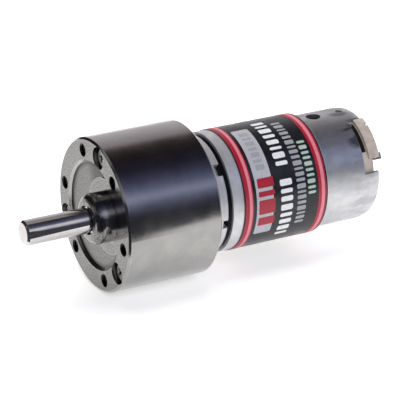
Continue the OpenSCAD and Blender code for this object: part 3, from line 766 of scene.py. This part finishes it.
def make_floor():
    """A pale studio table that glows a little, as a light table does."""
    material = bpy.data.materials.new("table")
    g = Graph(material)
    mottled = g.noise(g.place(), 30 * MM, 3.0)
    tint = g.mix(g.vary(mottled), (0.80, 0.80, 0.80), (0.84, 0.84, 0.835))
    g.surface(Base_Color=tint, Roughness=0.8, Specular_IOR_Level=0.1,
              Emission_Color=(1, 0.99, 0.97), Emission_Strength=FLOOR_GLOW)
    mesh = bmesh.new()
    bmesh.ops.create_grid(mesh, x_segments=4, y_segments=4, size=3.0)
    data = bpy.data.meshes.new("floor")
    mesh.to_mesh(data)
    mesh.free()
    data.materials.append(material)
    obj = bpy.data.objects.new("floor", data)
    obj.location.z = floor_z
    bpy.context.scene.collection.objects.link(obj)


def soft_edges(g, middle, sides):
    """1 over the middle of a card, falling to 0 at its borders."""
    offset = g.add("VectorMath", {0: g.place(), 1: middle}, operation="SUBTRACT").outputs[0]
    cover = 1.0
    for half in sides:
        scaled = half / half.length_squared
        share = g.add("VectorMath", {0: offset, 1: scaled}, operation="DOT_PRODUCT").outputs["Value"]
        cover = g.times(cover, g.remap(g.math("ABSOLUTE", share), 1.0, 0.4))
    return cover


def make_card(name, middle, sides, glow, soft=True):
    """A sheet seen only in reflections; sides are the two vectors from its middle to its edges."""
    material = bpy.data.materials.new(name)
    g = Graph(material)
    cover = soft_edges(g, middle, sides) if soft else 1.0
    g.surface(Base_Color=(0, 0, 0), Roughness=1.0, Emission_Color=glow, Emission_Strength=1.0,
              Alpha=cover)
    u, v = sides
    corners = [middle - u - v, middle + u - v, middle + u + v, middle - u + v]
    data = bpy.data.meshes.new(name)
    data.from_pydata(corners, [], [(0, 1, 2, 3)])
    data.materials.append(material)
    obj = bpy.data.objects.new(name, data)
    bpy.context.scene.collection.objects.link(obj)
    obj.visible_camera = False
    obj.visible_diffuse = False
    obj.visible_shadow = False


DARK_CARD_ENDS = (Vector((0.040, 0.006, 0)), Vector((-0.40, 0.388, 0)))
DARK_CARD_TOP = 15 * MM
OVERHEAD_PLACE = Vector((7 * MM, -1 * MM, 28 * MM))
STRIP_PLACE = Vector((3 * MM, 31 * MM, 19 * MM))
STRIP_TILT = math.radians(34.5)


def make_cards():
    """A dark card stands on the table on the camera's side; a grey and a pale one hang by the shaft."""
    start, end = DARK_CARD_ENDS
    low = Vector((0, 0, floor_z))
    rise = Vector((0, 0, DARK_CARD_TOP - floor_z)) / 2
    middle = (start + end) / 2 + low + rise
    make_card("dark_card", middle, ((end - start) / 2, rise), (0.03, 0.032, 0.045), soft=False)
    sides = (Vector((11 * MM, 0, 0)), Vector((0, 9 * MM, 0)))
    make_card("overhead_card", OVERHEAD_PLACE, sides, (0.36, 0.35, 0.35))
    sides = (Vector((13 * MM, 0, 0)), around(0, 8 * MM, STRIP_TILT + math.pi / 2))
    make_card("strip_card", STRIP_PLACE, sides, (0.80, 0.78, 0.79))


# What the object mirrors, by direction about the X axis: degrees from +Y, over the top to -Y.
SURROUNDINGS = [
    (-180, (0.80, 0.76, 0.80)),
    (-20, (0.05, 0.055, 0.08)),
    (12, (0.06, 0.065, 0.10)),
    (24, (0.18, 0.21, 0.33)),
    (35, (0.58, 0.63, 0.92)),
    (46, (0.24, 0.27, 0.45)),
    (60, (0.08, 0.09, 0.17)),
    (75, (0.03, 0.03, 0.055)),
    (100, (0.022, 0.018, 0.024)),
    (112, (0.05, 0.04, 0.036)),
    (124, (0.12, 0.10, 0.095)),
    (130, (0.52, 0.46, 0.49)),
    (150, (0.74, 0.69, 0.74)),
    (180, (0.80, 0.76, 0.80)),
]


def make_world():
    """Soft strips of light and dark along the object, as in a light tent.
    It's unlit low down beyond the gearbox's front, on the side away from the camera."""
    world = bpy.data.worlds.new("tent")
    bpy.context.scene.world = world
    g = Graph(world)
    split = g.add("SeparateXYZ", {0: g.add("TexCoord").outputs["Generated"]})
    angle = g.math("ARCTAN2", split.outputs[2], split.outputs[1])
    share = g.plus(g.math("DIVIDE", angle, 2 * math.pi), 0.5)
    ramp = g.add("ValToRGB", {0: share})
    stops = ramp.color_ramp.elements
    stops.remove(stops[1])
    for i, (degrees, colour) in enumerate(SURROUNDINGS):
        stop = stops.new(degrees / 360 + 0.5) if i else stops[0]
        stop.color = (*colour, 1)
    front_end = g.remap(split.outputs[0], -0.2, 0.05)
    far_side = g.remap(split.outputs[1], -0.1, -0.4)
    low = g.remap(split.outputs[2], 0.85, 0.7)
    unlit = g.times(g.times(front_end, far_side), low)
    strips = g.mix(unlit, ramp.outputs[0], (0.02, 0.02, 0.02))
    grey_ends = g.remap(g.math("ABSOLUTE", split.outputs[0]), 0.75, 0.95)
    colour = g.mix(grey_ends, strips, (0.42, 0.42, 0.44))
    background = g.add("Background", {0: colour, 1: 1.0})
    g.add("OutputWorld", {0: background.outputs[0]})


def area_light(name, place, target, size, watts, colour=(1, 1, 1)):
    """A soft box whose own outline isn't mirrored in the metal."""
    light = bpy.data.lights.new(name, "AREA")
    light.shape = "DISK"
    light.size = size
    light.energy = watts
    light.color = colour
    obj = bpy.data.objects.new(name, light)
    obj.location = place
    obj.rotation_euler = (Vector(target) - Vector(place)).to_track_quat("-Z", "Y").to_euler()
    obj.visible_glossy = False
    bpy.context.scene.collection.objects.link(obj)


def make_lights():
    """A soft key from above, a weaker fill on the camera's side and one from behind the motor."""
    middle = (-0.03, 0, 0)
    area_light("key", (-0.05, -0.05, 0.6), middle, 0.5, 2.6, (1, 0.985, 0.96))
    area_light("fill", (0.15, 0.55, 0.3), middle, 0.5, 1.3, (0.97, 0.98, 1))
    area_light("back", (-0.4, -0.45, 0.35), middle, 0.5, 1.6)


CAMERA_AZIMUTH, CAMERA_ELEVATION = math.radians(151.24), math.radians(22.7)
CAMERA_AIM = Vector((-0.0283, 0, -0.0018))
CAMERA_DISTANCE = 0.534
CAMERA_LENS = 201.3


def make_camera():
    """A long lens at the photo's angle, with no depth of field."""
    data = bpy.data.cameras.new("camera")
    data.lens = CAMERA_LENS
    data.sensor_width = 36
    data.clip_start = 0.01
    level = math.cos(CAMERA_ELEVATION)
    side, away = math.sin(CAMERA_AZIMUTH) * level, -math.cos(CAMERA_AZIMUTH) * level
    back = Vector((side, away, math.sin(CAMERA_ELEVATION)))
    obj = bpy.data.objects.new("camera", data)
    obj.location = CAMERA_AIM + CAMERA_DISTANCE * back
    obj.rotation_euler = (-back).to_track_quat("-Z", "Y").to_euler()
    bpy.context.scene.collection.objects.link(obj)
    bpy.context.scene.camera = obj
    bpy.context.scene.view_settings.view_transform = "Standard"


materials = make_materials()
dress(materials)
label_print(materials)
label_seam(materials)
hole_threads(materials)
cap_details(materials)
make_floor()
make_cards()
make_world()
make_lights()
make_camera()
